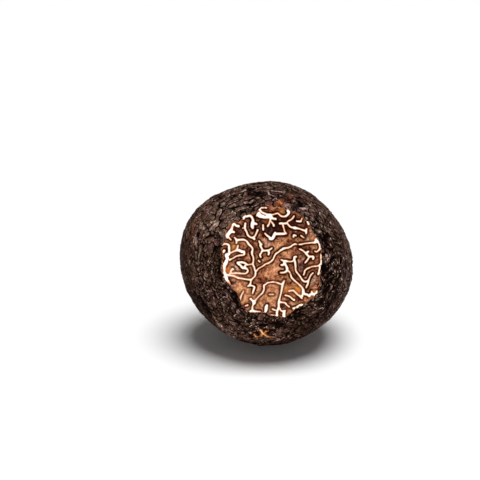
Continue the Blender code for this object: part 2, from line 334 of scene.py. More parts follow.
# Where the flesh is stained orange, and where it is darker or paler: (right, up, radius, strength).
STAINS = (
    (-10.1, -1.8, .9, 1), (-8.4, -3, 1.1, .5), (-8.2, 4.2, 1.3, .55), (5.4, -7, 1.1, .75),
    (7.8, -7, 1.3, .8), (6.8, -8.6, .6, .6), (8.3, -8, .7, .7), (12.1, -7.4, .5, .9), (-3.4, -9.1, .5, .8),
    (.2, 11.1, .9, .5), (-10.9, 7.5, .5, .8), (12.3, 6.4, .7, .8), (-9.6, -2.6, .8, .7),
    (-9.2, 9.4, .5, .5), (-6, -9.6, .9, .35), (3.9, 13.6, .8, .6),
)
SHADES = (
    (0, 10, 3.6, -.55), (4.5, 10.5, 3.2, -.45), (8.5, 10.2, 2.6, -.45), (8.8, 6.6, 2.2, -.2),
    (2.2, 9, 1.8, -.6), (-6.6, 8.2, 2, -.5), (-3.9, 8.8, 1, -.3), (2, 13.4, 1, -.5), (10.6, -1.2, 2.4, -.4),
    (9.4, 2, 2.4, -.22), (7.4, 2.3, 1.2, .25), (6, -1.4, 1.2, -.2), (-2.6, 4, 1.6, -.2),
    (-6.8, 1.1, 1.3, -.2), (-3.8, -5.6, 1.2, -.35), (-.6, -3.2, 2.6, .04), (1.4, -8.4, 2.6, .24),
    (1, -8.1, .9, .3), (-.3, -11.6, .7, .25), (-5, -8.4, 2.6, .32), (.4, 5.3, 1.6, .18),
    (2.2, -3.6, 1.8, -.1), (-8, -.6, .8, .22), (-6.5, -6.6, 1.8, .3), (-5.8, 4.9, .9, .3),
    (3.2, 1.9, 1.2, .15), (6.4, -10.2, 1.3, .1), (-6.9, -3.1, 1, .2), (10.4, -6.7, 1, -.2),
    (-10.5, 3.6, .4, -1.3), (-6.15, -.25, .22, -1.3), (-4.3, 11.2, .6, -.5), (-.9, 7.6, 1, -.2),
    (2.6, -2.9, .6, -.2), (8.3, 4.1, .9, -.45), (10.6, 3.9, 1, -.35), (7.1, -3.6, .5, -.7),
    (8, -4.8, .5, -.7), (8, -9.3, .7, -.6), (5.6, -9.6, .6, -.4), (3.9, -11.2, .5, -.7),
    (-9, -4.9, .6, -.5), (10.9, -6.2, .8, -.3), (7.9, -.6, .7, -.4), (-4.7, 3.4, .5, -.4),
    (5.7, 8.9, .8, -.3),
)
# Where the flesh is greyer.
DULL = (
    (-6.5, 8, 1.3, .4), (-3.9, 8.6, 1.1, .4), (0, 5, 1.6, .4), (-1.6, 10.2, .9, .8), (1.1, 8.6, 1.3, 1),
    (3.2, 6.9, .8, .6), (8.2, 9.4, 1.5, .45), (12.1, 7.3, 1, .7), (10.8, 5.9, .8, .5), (8.9, -1, 1.6, .7),
    (9.6, 2, 1.2, .5), (11.7, -4.2, 1.5, .8), (-8, -1, .9, .7), (-8.9, -5, .8, .8), (6.3, -9.9, 1.1, .2),
    (4, -11.3, .7, .5),
)

# Marks on the rind: (strength, reach, line of (right, up) as seen from the front).
FURROWS = (
    (1, 1.2, ((-4.2, 18.5), (-2.8, 18.3), (-1.5, 18.1))),
    (.5, .35, ((-9.4, 17), (-7, 16.8), (-5.5, 17.2))),
    (.8, .35, ((5.6, 19), (6.4, 18.8))),
    (.7, .4, ((9.7, 16.1), (10.1, 15.5))),
    (1, 1.3, ((-17.2, -9.3), (-16.6, -10.6), (-15.8, -11.8), (-15, -12.9))),
    (.9, .30, ((-7.9, -11.2), (-7.6, -13), (-7.4, -15.3))),
    (.9, .30, ((-12.5, 15.1), (-11.1, 15.3), (-10.8, 14), (-10.2, 13.6), (-9.3, 14), (-7.8, 15.3))),
    (1, .35, ((-8.8, 12.5), (-7.6, 12.9), (-6.2, 13.7), (-3.3, 14.2))),
    (.7, .30, ((-10.9, 11.6), (-11.4, 10.6), (-11.2, 9.4))),
    (.9, .30, ((-13.9, 7.6), (-12.6, 7.1), (-11.4, 6.7))),
    (.9, .30, ((-14.8, 3.4), (-13.9, 3.7), (-13.3, 3.5), (-12.2, 4.3))),
    (.9, .25, ((-12, 1.8), (-12.5, .1), (-12.3, -1.8), (-11.5, -4))),
    (.8, .3, ((-6.7, 15.6), (-4.5, 15.3), (-2.4, 15.6))),
    (1, .35, ((-2.1, -18.2), (-1.7, -18.1))),
    (1, .35, ((-.4, -17.3), (-.3, -17.6))),
    (1, .40, ((.6, -18.2), (1.3, -18.4))),
    (.6, .3, ((5.5, 16.2), (7.5, 15.6), (9, 15))),
    (.9, .4, ((14.9, .9), (15, -.6), (14.8, -2.4), (15.4, -3.4))),
    (.5, .4, ((14.2, 6.2), (14.9, 5.2), (15.4, 4.2))),
    (.7, .4, ((11.8, 11), (12.8, 9.2), (13.8, 7.4))),
    (.6, .35, ((17.6, 3), (18.2, 1.8))),
    (1, .4, ((-8.8, -7.9), (-8, -8.3), (-7.9, -9.8), (-7.5, -10.4))),
    (.7, .3, ((6, -13.6), (7.6, -12.7), (9.4, -11.8))),
)
RUST = (
    (.5, .7, ((.2, 14.9), (1.8, 15.3), (3.4, 14.9))),
    (.5, .8, ((4.2, 15.4), (5.2, 16.2))),
    (.7, .45, ((-4.9, 17.8), (-4.5, 17.9))),
    (.35, .5, ((-10, -18.4), (-7.5, -19.6), (-4, -20.2))),
    (.35, .5, ((2, -19.4), (3, -19.6), (4.5, -19.2))),
    (.4, .8, ((6.2, 16.9), (6.8, 17.6))),
    (.45, .6, ((14.6, -2), (14.8, -3.2))),
    (.2, 1.4, ((-18.6, 10), (-19.6, 8))),
    (.3, .6, ((15.8, 5.2), (17, 4.2))),
)
SCAR = (
    (1, .38, ((-.8, -18.5), (-.5, -18.7))),
    (.9, .26, ((-.7, -18.4), (-1.5, -17.3))),
    (.6, .22, ((-.6, -18.4), (.3, -17.7), (1, -17.2))),
    (.7, .28, ((-.8, -18.6), (-1.5, -19.1), (-2.5, -19.3), (-3, -18.5))),
    (.75, .32, ((-.4, -18.6), (.6, -19.2), (1.4, -19.4))),
    (.6, .3, ((2.9, 15.4), (3.3, 16.3), (3.8, 15.6))),
)
# Pinkish pale flecks and streaks: painted glints on the warts, and skin rubbed through.
PAINTED_GLINTS = (
    (3.5, -17.7), (5.9, -15.4), (4.1, -15.5), (6.5, -13.3), (7.7, -14.3), (8.2, -14.4), (6.9, -14.6),
    (14.5, 7.4), (15.5, 7), (-8.5, 11.3), (-10.3, 12.1), (-11.6, 9.7), (-20, .2), (-18.5, -4),
    (-13.1, -11), (-6.6, -14.5), (-10.1, -14.9), (-8.5, -15.5), (-6.2, -17.3), (14.9, 5.6), (15.2, 9.6),
    (16.1, 8.4), (12.9, 11.6), (-16.4, 8.9), (-14.6, 10.2), (16.4, -3.8), (17.2, -5.6), (12.2, -12.9),
)
PALE = (
    (.9, .5, ((14.9, 2.3), (16.1, 2.1))),
    (.6, .35, ((-12.7, -15.3), (-12.3, -16.2), (-11.7, -16.9))),
    (.5, .3, ((1.6, -19.3), (3.7, -19.6))),
    (.55, .3, ((-9.7, -18.7), (-8.5, -19.3), (-7.3, -19.7))),
    (.5, .35, ((5.6, 18), (6.2, 17.8))),
    *((.9, .26, (fleck,)) for fleck in PAINTED_GLINTS),
)
# Where the rind is smooth.
CALM = (
    (.9, 6, ((-22, 4), (-22, -2), (-20.6, -8))),
    (.5, 3.5, ((-20, 9), (-16, 14))),
    (.6, 3, ((16, 14), (19.5, 8), (21, 2))),
    (.9, 4.5, ((-18.9, -9.6), (-16.4, -13.3), (-12.6, -17))),
    (.35, 4, ((15, -12), (11, -16))),
)
# Where the rind is deeply pitted.
RUGGED = (
    (1, 5, ((14, 9), (16, 3), (17, -4), (15, -9))),
    (.8, 2.5, ((-6, 18), (0, 17.5), (7, 16.5))),
    (.6, 2.5, ((-8, -12), (-2, -16.5), (5, -16), (8, -14))),
)
# Painted shade: where the rind is painted darker.
PAINTED_SHADE = (
    (1.4, 5.5, ((-22, 6), (-21.5, 0), (-19.6, -7))),
    (.6, 4, ((-15, 3), (-15, -3), (-14, -8))),
    (1, 4.5, ((-15, -9), (-12, -14))),
    (3, 4.5, ((-19, -9.4), (-16.6, -13.2), (-13.2, -16.8))),
    (1.6, 4, ((2, -16.5), (10, -13))),
    (1.1, 3.5, ((-9, -15), (-3, -17.5))),
    (.6, 3.5, ((-4, 18), (4, 18.5), (9, 16.5))),
    (2.5, 2.5, ((-12, -17.8), (-6, -20.3), (0, -21.2), (6, -20.2), (12, -17.2))),
    (1.9, 5, ((15, -13), (10, -17))),
    (.8, 4.5, ((18, -6), (18, 0), (17.5, 5))),
    (1.4, .7, ((15.2, -1), (15.2, -6), (14.6, -9.5))),
    (1.6, .8, ((-12.6, 2), (-12.4, -3), (-10.8, -5.8), (-8.9, -8.4), (-7.6, -11), (-5.4, -13.3),
               (-1, -13.8))),
)
# Painted light: where the rind is painted paler.
PAINTED_LIGHT = (
    (.5, 6, ((-14, 12), (-9, 15.5))),
    (.9, 2.8, ((10, 14.3), (12.5, 12.5))),
    (.5, 3, ((17, 13), (20, 7), (21.3, 1))),
)
# Where the warts are coarser or finer: (right, up, spread, change).
SIZES = (
    (-12, 12, 6, .75), (-13, 4, 3.5, .45), (-9, -12, 6, -.12), (13, -10, 9, -.12), (3, 18, 8, .4),
    (-15, -3, 6, -.2),
)


# ---- small tools
def linear(colour):
    """Linear RGBA from an sRGB hex value such as "5A4A43"."""
    parts = [int(colour[i : i + 2], 16) / 255 for i in (0, 2, 4)]
    return tuple(p / 12.92 if p <= 0.04045 else ((p + 0.055) / 1.055) ** 2.4 for p in parts) + (1.0,)


def unit(vectors):
    """Each row scaled to length 1."""
    return vectors / np.linalg.norm(vectors, axis=-1, keepdims=True)


def soft_noise(points, size, seed):
    """Smooth noise from about -1 to 1 at each point, with lumps of this size."""
    shift = Vector((seed * 17.3, seed * 5.1, seed * 9.7))
    return np.array([noise.noise(Vector(p) / size + shift) for p in points])


def off_lines(spots, starts, ends):
    """How far along each line is nearest to each spot, as a share of it, and how far off the spot is."""
    along = ends - starts
    away = spots[:, None] - starts
    share = np.clip((away * along).sum(axis=2) / np.maximum((along**2).sum(axis=1), LEAST), 0, 1)
    return share, np.linalg.norm(away - share[..., None] * along, axis=2)


def tree_of(spots):
    """A search tree that finds the spots near a place."""
    tree = KDTree(len(spots))
    for index, spot in enumerate(spots):
        tree.insert(spot, index)
    tree.balance()
    return tree


def only(*pieces):
    """Select these pieces and nothing else. The first is the active one."""
    for other in bpy.context.selected_objects:
        other.select_set(False)
    for piece in pieces:
        piece.select_set(True)
        bpy.context.view_layer.objects.active = pieces[0]


def edit(piece, mode="VERT", action="DESELECT"):
    """Open the piece in edit mode with nothing selected, or all of it."""
    only(piece)
    bpy.ops.object.mode_set(mode="EDIT")
    bpy.ops.mesh.select_mode(type=mode)
    bpy.ops.mesh.select_all(action=action)


def close():
    """Leave edit mode."""
    bpy.ops.object.mode_set(mode="OBJECT")


def pick(piece, wanted, kind="vertices"):
    """Select the elements of an open piece for which wanted holds."""
    close()
    getattr(piece.data, kind).foreach_set("select", np.asarray(wanted, dtype=bool))
    bpy.ops.object.mode_set(mode="EDIT")


def places(mesh):
    """Where the mesh's points are."""
    spots = np.empty(len(mesh.vertices) * 3)
    mesh.vertices.foreach_get("co", spots)
    return spots.reshape(-1, 3)


def put(mesh, spots):
    """Move the mesh's points to the spots."""
    mesh.vertices.foreach_set("co", np.asarray(spots, dtype=float).reshape(-1))
    mesh.update()


def note(mesh, marks):
    """Write each mark's values on the mesh's points, for the finish to read."""
    for name, values in marks:
        mesh.attributes.new(name, "FLOAT", "POINT").data.foreach_set("value", values.astype(np.float32))


def add(tree, kind, inputs=None, stops=None, **settings):
    """A node with its settings, its ramp's stops, and its inputs: numbers, or nodes or sockets to link."""
    node = tree.nodes.new(kind if "Node" in kind else "ShaderNode" + kind)
    for name, value in settings.items():
        setattr(node, name, value)
    for name, value in (inputs or {}).items():
        if isinstance(value, bpy.types.Node):
            value = next(socket for socket in value.outputs if socket.enabled)
        if isinstance(value, bpy.types.NodeSocket):
            tree.links.new(value, node.inputs[name])
        else:
            node.inputs[name].default_value = value
    if stops:
        ramp = node.color_ramp
        while len(ramp.elements) < len(stops):
            ramp.elements.new(0.5)
        for element, (place, colour) in zip(ramp.elements, stops):
            element.position = place
            element.color = linear(colour)
    return node


def turn_to(thing, place, aim):
    """Put a lamp or the camera at a place and turn it to its aim."""
    bpy.context.scene.collection.objects.link(thing)
    thing.location = place
    thing.rotation_euler = (Vector(aim) - Vector(place)).to_track_quat("-Z", "Y").to_euler()


# ---- the frame's solid
class Body:
    """The truffle as it was before the slice: how far it reaches in any direction."""

    RIM_STEPS = 180
    RIM_FROM, RIM_TURN = radians(20), radians(0.25)  # where the search for the rim starts, and its step
    JUST_PAST = 0.1 * MM
    FLAT = radians(0.2)

    def __init__(self, node):
        solid = bmesh.new()
        solid.from_mesh(frame["nodes"][node].data)
        bmesh.ops.remove_doubles(solid, verts=solid.verts[:], dist=SAME_PLACE)
        self.tree = BVHTree.FromBMesh(solid)
        low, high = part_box(node)
        self.middle = (Vector(low) + Vector(high)) / 2
        bmesh.ops.dissolve_limit(solid, angle_limit=self.FLAT, verts=solid.verts[:], edges=solid.edges[:])
        face = max(solid.faces, key=lambda f: f.calc_area())
        self.normal = face.normal.copy()
        self.foot = self.middle + self.normal * (face.verts[0].co - self.middle).dot(self.normal)
        solid.free()
        self.right = Vector((0, 0, 1)).cross(self.normal).normalized()
        self.up = self.normal.cross(self.right)
        self.rim_angle, self.rim_reach = self.rim()
        drawn = np.array(OUTLINE) * FLESH_SCALE + FLESH_SHIFT
        turns = np.arctan2(drawn[:, 1], drawn[:, 0]) / (2 * pi) * self.RIM_STEPS
        far = np.linalg.norm(drawn, axis=1)
        wanted = np.interp(np.arange(self.RIM_STEPS), turns, far, period=self.RIM_STEPS)
        self.rim_lift = (wanted - self.rim_reach * np.sin(self.rim_angle) / MM) * np.sin(self.rim_angle)

    def cast(self, way):
        """Distance from the middle to the solid's surface this way."""
        return self.tree.ray_cast(self.middle, way)[3]

    def seen(self, right, up):
        """Unit vector to the spot this far right of and above the marks' zero, as seen from the front."""
        target = self.middle + (RIGHT * right + UPWARD * (up - CENTRE_DROP)) * MM
        eye = self.middle + OUTWARD * LOOK_FROM * MM
        hit = self.tree.ray_cast(eye, target - eye)[0] or target
        return np.array((hit - self.middle).normalized())

    def on_cut(self, corners):
        """Where each corner is on the cut face, as (right, up) in metres."""
        return np.array([((co - self.foot).dot(self.right), (co - self.foot).dot(self.up)) for co in corners])

    def rim(self):
        """Angle from the slice's normal, and reach, just outside its rim, all the way round."""
        angles, reaches = [], []
        for step in range(self.RIM_STEPS):
            turn = 2 * pi * step / self.RIM_STEPS
            side = self.right * cos(turn) + self.up * sin(turn)
            angle = self.RIM_FROM
            beyond = 0.0
            while beyond > -self.JUST_PAST:
                angle += self.RIM_TURN
                way = self.normal * cos(angle) + side * sin(angle)
                reach = self.cast(way)
                beyond = (self.middle + way * reach - self.foot).dot(self.normal)
            angles.append(angle)
            reaches.append(reach)
        return np.array(angles), np.array(reaches)

    def reach(self, ways):
        """Distance from the middle to the uncut surface along each unit vector, how far that is past the
        rim, and how far the body is drawn out there."""
        normal, right, up = (np.array(v) for v in (self.normal, self.right, self.up))
        turn = np.arctan2(ways @ up, ways @ right) / (2 * pi) * self.RIM_STEPS
        rim_angle, rim_reach, lift = (
            np.interp(turn, np.arange(self.RIM_STEPS), values, period=self.RIM_STEPS)
            for values in (self.rim_angle, self.rim_reach, self.rim_lift)
        )
        past = np.arccos(np.clip(ways @ normal, -1, 1)) - rim_angle
        reach = [near if off < 0 else self.cast(Vector(way)) for way, near, off in zip(ways, rim_reach, past)]
        return np.array(reach), past * BALL, lift


# ---- rind
def wart_spacing(ways, body):
    """Least distance between warts at each spot: coarse at the top and the upper left, finer low down."""
    size = np.full(len(ways), WART)
    for right, up, spread, change in SIZES:
        away = np.linalg.norm(ways - body.seen(right, up), axis=1) * BALL
        size *= 1 + change * np.exp(-((away / spread) ** 2))
    return size * (1 + SIZE_DRIFT * soft_noise(ways, DRIFT_SIZE, 3))


def stretched(ways, body):
    """The ball drawn out along the slice's normal, so that even spacing on it is closer towards the cut."""
    normal = np.array(body.normal)
    angle = np.arccos(np.clip(ways @ normal, -1, 1))
    steps = np.linspace(0, pi, 400)
    along = np.cumsum(np.sqrt(GRAIN_STRETCH**2 - np.cos(steps) ** 2)) * (steps[1] - steps[0])
    off_axis = ways - np.cos(angle)[:, None] * normal
    return (off_axis - np.interp(angle, steps, along)[:, None] * normal) * BALL


def scattered(spots, spacing, rng):
    """Which spots are kept when each, in a random order, keeps the ones after it this far away."""
    tree = tree_of(spots)
    kept, taken = np.zeros((2, len(spots)), dtype=bool)
    for index in rng.permutation(len(spots)):
        if not taken[index]:
            kept[index] = True
            for _, near, _ in tree.find_range(spots[index], spacing[index]):
                taken[near] = True
    return kept


def wart_net(rng, body):
    """A ball whose faces are the outlines of the warts."""
    bpy.ops.mesh.primitive_ico_sphere_add(subdivisions=SEEDING, radius=BALL)
    net = bpy.context.object
    ways = unit(places(net.data))
    spacing = wart_spacing(ways, body) * rng.lognormal(0, SIZE_SPREAD, len(ways))
    kept = scattered(stretched(ways, body), spacing, rng)
    edit(net)
    pick(net, ~kept)
    bpy.ops.mesh.delete(type="VERT")
    bpy.ops.mesh.select_all(action="SELECT")
    bpy.ops.mesh.delete(type="EDGE_FACE")
    close()
    ways = unit(places(net.data))
    put(net.data, unit(ways + rng.normal(0, STRAY * WART / BALL, ways.shape)) * BALL)
    edit(net, action="SELECT")
    bpy.ops.mesh.convex_hull(join_triangles=False)
    close()
    corners_to_faces = bpy.data.node_groups.new("corners_to_faces", "GeometryNodeTree")
    for way in ("INPUT", "OUTPUT"):
        corners_to_faces.interface.new_socket("Geometry", in_out=way, socket_type="NodeSocketGeometry")
    dual = add(corners_to_faces, "GeometryNodeDualMesh", {0: add(corners_to_faces, "NodeGroupInput")})
    add(corners_to_faces, "NodeGroupOutput", {0: dual})
    step = net.modifiers.new("corners_to_faces", "NODES")
    step.node_group = corners_to_faces
    bpy.ops.object.modifier_apply(modifier=step.name)
    return net


def grow_together(net, rng, body):
    """Take away some of the cracks that run across the grain, so that two warts are one."""
    mesh = net.data
    sides = {}
    for face in mesh.polygons:
        for key in face.edge_keys:
            sides.setdefault(key, []).append(face.index)
    spots = places(mesh)
    normal = np.array(body.normal)
    ends = np.array([edge.vertices[:] for edge in mesh.edges])
    middle = unit(spots[ends].mean(axis=1))
    outward = unit(middle * (middle @ normal)[:, None] - normal)
    across = np.abs((unit(spots[ends[:, 0]] - spots[ends[:, 1]]) * outward).sum(axis=1))
    closing = GROWN_TOGETHER * across**3
    grown = np.zeros(len(mesh.polygons), dtype=bool)
    closed = np.zeros(len(ends), dtype=bool)
    for index in rng.permutation(len(ends)):
        pair = sides[mesh.edges[index].key]
        if rng.random() < closing[index] and not grown[pair].any():
            grown[pair] = True
            closed[index] = True
    edit(net, "EDGE")
    pick(net, closed, "edges")
    bpy.ops.mesh.dissolve_edges(use_verts=True)
    close()


def raise_warts(net):
    """Turn each face of the net into a wart: a crack round it, a shoulder and a low top."""
    mesh = net.data
    wart = mesh.attributes.new("wart", "INT", "FACE")
    wart.data.foreach_set("value", np.arange(len(mesh.polygons), dtype=np.int32))
    edit(net, "FACE", "SELECT")
    bpy.ops.mesh.inset(thickness=CRACK, depth=STOREY, use_individual=True)
    close()
    small = np.array([face.select and face.area <= ROOMY for face in mesh.polygons])
    edit(net, "FACE")
    pick(net, small, "polygons")
    bpy.ops.mesh.poke(offset=2 * STOREY)
    close()
    # the sides of the warts have four corners, and the larger faces are tops
    roomy = np.array([len(face.vertices) > 4 and face.area > ROOMY for face in mesh.polygons])
    edit(net, "FACE")
    pick(net, roomy, "polygons")
    bpy.ops.mesh.inset(thickness=SHOULDER, depth=STOREY, use_individual=True)
    bpy.ops.mesh.poke(offset=STOREY)
    bpy.ops.mesh.select_all(action="SELECT")
    bpy.ops.mesh.normals_make_consistent(inside=False)
    close()


def owners(mesh):
    """The wart that each point belongs to, and how many warts there are."""
    wart = np.empty(len(mesh.polygons), dtype=np.int32)
    mesh.attributes["wart"].data.foreach_get("value", wart)
    owner = np.zeros(len(mesh.vertices), dtype=int)
    for face, number in zip(mesh.polygons, wart):
        for corner in face.vertices:
            owner[corner] = number
    return owner, wart.max() + 1


def press_on(net, rng, body):
    """Press the ball of warts onto the frame's solid, each wart a little higher or lower and tilted."""
    mesh = net.data
    spots = places(mesh)
    away = np.linalg.norm(spots, axis=1)
    ways = spots / away[:, None]
    storey = np.clip(np.rint((away - BALL) / STOREY), 0, 3).astype(int)
    owner, count = owners(mesh)
    total = np.maximum(np.bincount(owner, minlength=count), 1)
    centre = np.stack([np.bincount(owner, way, count) / total for way in ways.T], axis=1)
    higher = rng.normal(0, UNEVEN, count)[owner]
    tilt = ((ways - centre[owner]) * rng.normal(0, LEAN, (count, 3))[owner]).sum(axis=1) * BALL
    tilt = np.clip(tilt, LEAN_LEAST, LEAN_MOST)
    top = higher + tilt
    marks = paint(ways, body)
    calm = marks["calm"]
    rugged = beside(ways, RUGGED, body)

    # how far the crack is open at each point, and where its edges have broken away
    gap = OPENING + OPENING_DRIFT * soft_noise(ways, OPENING_SIZE, 4)
    gap = gap + OPENING_SCATTER * (rng.random(len(ways)) - 0.5)
    gap = gap - SMOOTH_CLOSES * calm + marks["furrow"] + RUGGED_OPENS * rugged
    split = np.clip(gap, 0, 1)
    gape = np.clip((gap - GAPE) * GAPE_RATE, 0, 1)
    pitted = rng.random(count)[owner] < (PITTED + PITTED_RUGGED * rugged) * (1 - calm)
    pit = pitted * rng.uniform(*PIT_SHARE, count)[owner]
    curl = EDGE_RISE * rng.normal(CURL_MEAN, 1, len(ways))
    pointed = (rng.random(count)[owner] < POINTED) * (1 - pit)
    level = np.choose(
        storey,
        [
            -SHALLOW - (CRACK_DEPTH - SHALLOW) * split,
            top + curl - EDGE_PIT * PIT_DEPTH * pit - EDGE_BREAK * CRACK_DEPTH * gape,
            top - EDGE_DROP - PIT_DEPTH * pit,
            top + CROWN + PEAK * pointed - PIT_DEPTH * pit,
        ],
    )
    # painted shade: open cracks, edges that broke away and pits are painted dark for the shade in them
    dark = np.choose(storey, [split, gape, pit, pit])

    # painted highlight: the side of a wart that stands up is painted lighter, and so is its tip; a closed
    # crack is paler as well
    highlight_share = HIGHLIGHT * tilt / LEAN + rng.normal(HIGHLIGHT_MEAN, HIGHLIGHT_SPREAD, len(ways))
    lit = np.clip(highlight_share, 0, HIGHLIGHT_MOST) * (1 - gape) * (1 - CALM_HIDES * calm)
    lit = lit * (HIGHLIGHT_PLAIN + HIGHLIGHT_RUGGED * rugged) * (1 - PIT_HIDES * pit)
    tip = np.clip(rng.normal(TIP_MEAN, TIP_SPREAD, len(ways)), 0, 1) * pointed
    light = np.choose(
        storey,
        [
            CLOSED_LIGHT * (1 - split),
            lit * (1 - TIP_HIDES * pointed),
            SHOULDER_TIP * tip + SHOULDER_LIT * lit,
            tip,
        ],
    )

    reach, past, lift = body.reach(ways)
    at_rim = np.exp(-((past / RIM_BAND) ** 2))
    rough = ROUGH * soft_noise(ways, ROUGH_SIZE, 5)
    lumps = LUMPS * soft_noise(ways, LUMP_SIZE, 2) + SMALL_LUMPS * soft_noise(ways, SMALL_LUMP_SIZE, 6)
    drawn_out = lift * np.exp(-((past / LIFT_BAND) ** 2))
    relief = (level + rough + lumps) * (1 - RIM_CALM * at_rim) + RIM_SWELL * at_rim + drawn_out
    relief = relief - FURROW_DEPTH * marks["furrow"]
    spots = np.array(body.middle) + ways * (reach + relief * MM)[:, None]
    spots[:, 2] = np.maximum(spots[:, 2], 0.0)
    put(mesh, spots)
    note(mesh, (("dark", dark), ("light", light), ("tone", rng.random(count)[owner]), *marks.items()))


def beside(ways, marks, body):
    """The strongest of the marks at each spot. A mark is a strength, a reach and a line of (right, up)."""
    most = np.zeros(len(ways))
    for strength, reach, line in marks:
        spots = np.array([body.seen(*spot) for spot in line])
        starts, ends = (spots[:-1], spots[1:]) if len(spots) > 1 else (spots, spots)
        gap = off_lines(ways, starts, ends)[1].min(axis=1) * BALL
        most = np.maximum(most, strength * np.exp(-((gap / reach) ** 2)))
    return most


def paint(ways, body):
    """How strong each of the rind's marks is at each spot."""
    marks = {"furrow": FURROWS, "rust": RUST, "scar": SCAR, "pale": PALE, "gloom": PAINTED_SHADE, "calm": CALM}
    marks = {name: beside(ways, lines, body) for name, lines in marks.items()}
    # painted light takes away from the painted shade
    marks["gloom"] = marks["gloom"] - beside(ways, PAINTED_LIGHT, body)
    return marks


def slice_off(net, body):
    """Cut the front off and leave the rim open."""
    edit(net, action="SELECT")
    bpy.ops.mesh.bisect(
        plane_co=body.foot, plane_no=body.normal, use_fill=False, clear_outer=True, threshold=SAME_PLACE
    )
    # crumbs of warts that the cut has parted from the rest go too
    lowest = places(net.data)[:, 2].argmin()
    pick(net, np.arange(len(net.data.vertices)) == lowest)
    bpy.ops.mesh.select_linked()
    bpy.ops.mesh.select_all(action="INVERT")
    bpy.ops.mesh.delete(type="VERT")
    close()


# ---- cut face
def rim_of(net, body):
    """The rim's corners in order, never doubling back. Nicks beside it are closed."""
    work = bmesh.new()
    work.from_mesh(net.data)
    rim = {loop for face in work.faces for loop in face.loops if loop.edge.is_boundary}
    loops = []
    while rim:
        start = here = min(rim, key=lambda loop: loop.vert.index)
        corners = []
        while True:
            rim.discard(here)
            corners.append(here.vert)
            here = here.link_loop_next
            while not here.edge.is_boundary:
                here = here.link_loop_radial_next.link_loop_next
            if here is start:
                break
        loops.append(corners)
    loops.sort(key=len, reverse=True)
    main = loops[0]
    for nick in loops[1:]:
        work.faces.new(nick[::-1])
    flat = body.on_cut(vert.co for vert in main)
    far = np.linalg.norm(flat, axis=1)
    turn = np.unwrap(np.arctan2(flat[:, 1], flat[:, 0]))
    way = np.sign(turn[-1] - turn[0])
    laps = np.concatenate([way * turn, way * turn + 2 * pi])
    for index in range(1, len(laps)):
        laps[index] = max(laps[index], laps[index - 1] + LEAST_TURN)
    turn = way * (laps[len(turn) :] - 2 * pi)
    for vert, reach, angle in zip(main, far, turn):
        vert.co = body.foot + (body.right * cos(angle) + body.up * sin(angle)) * reach
    found = [vert.co.copy() for vert in main]
    work.to_mesh(net.data)
    work.free()
    return found


def smooth_line(points, step):
    """Points every step along a soft curve through the given ones."""
    points = np.array(points, dtype=float)
    padded = np.vstack([2 * points[0] - points[1], points, 2 * points[-1] - points[-2]])
    line = []
    for before, start, end, after in zip(padded, padded[1:], padded[2:], padded[3:]):
        count = max(1, round(np.linalg.norm(end[:2] - start[:2]) / step))
        for t in np.arange(count) / count:
            curve = 2 * start + (end - before) * t
            curve = curve + (2 * before - 5 * start + 4 * end - after) * t**2
            line.append((curve + (3 * start - before - 3 * end + after) * t**3) / 2)
    line.append(points[-1])
    return np.array(line)


def vein_lines():
    """Each vein as points along it: (right, up, half its width)."""
    lines = []
    for vein in VEINS:
        line = smooth_line(vein, VEIN_STEP)
        line[:, :2] = line[:, :2] * FLESH_SCALE + FLESH_SHIFT
        line[:, 2] *= VEIN_FULLNESS
        lines.append(line)
    return lines


def inside_by(spots, corners):
    """How far each spot is inside the outline that the corners make, negative outside it."""
    ends = np.roll(corners, -1, axis=0)
    along = ends - corners
    gaps = []
    for some in np.array_split(spots, len(spots) // BATCH + 1):
        gap = off_lines(some, corners, ends)[1].min(axis=1)
        spans = (corners[:, 1] > some[:, 1:]) != (ends[:, 1] > some[:, 1:])
        with np.errstate(divide="ignore", invalid="ignore"):
            crossing = corners[:, 0] + (some[:, 1:] - corners[:, 1]) * along[:, 0] / along[:, 1]
        crossed = (spans & (some[:, :1] < crossing)).sum(axis=1)
        gaps.append(np.where(crossed % 2 == 1, gap, -gap))
    return np.concatenate(gaps)


def outside_veins(spots, veins):
    """How far each spot is outside the nearest vein's edge, and half that vein's width there."""
    starts = np.concatenate([line[:-1] for line in veins])
    ends = np.concatenate([line[1:] for line in veins])
    found = []
    for some in np.array_split(spots, len(spots) // BATCH + 1):
        share, gap = off_lines(some, starts[:, :2], ends[:, :2])
        width = starts[:, 2] + share * (ends[:, 2] - starts[:, 2])
        best = (gap - width).argmin(axis=1)[:, None]
        found.append([np.take_along_axis(values, best, axis=1)[:, 0] for values in (gap - width, width)])
    return np.concatenate(found, axis=1)


def lattice(rim, veins):
    """Even points inside the rim, clear of it and of the veins."""
    wide = np.linalg.norm(rim, axis=1).max()
    rows = []
    for row, up in enumerate(np.arange(-wide, wide, GRAIN * sqrt(3) / 2)):
        start = -wide + (row % 2) * GRAIN / 2
        rows += [(right, up) for right in np.arange(start, wide, GRAIN)]
    spots = np.array(rows)
    tree = tree_of([(right, up, 0) for right, up, _ in np.concatenate(veins)])
    clear = np.array([tree.find((right, up, 0))[2] > VEIN_ROOM for right, up in spots])
    spots = spots[clear]
    return spots[inside_by(spots, rim) > RIM_ROOM]


def blots(spots, marks):
    """How strong each mark is at each spot. A mark is (right, up, radius, strength)."""
    return np.array(
        [
            strength * np.exp(-((spots - (right, up)) ** 2).sum(axis=1) / radius**2)
            for right, up, radius, strength in marks
        ]
    )


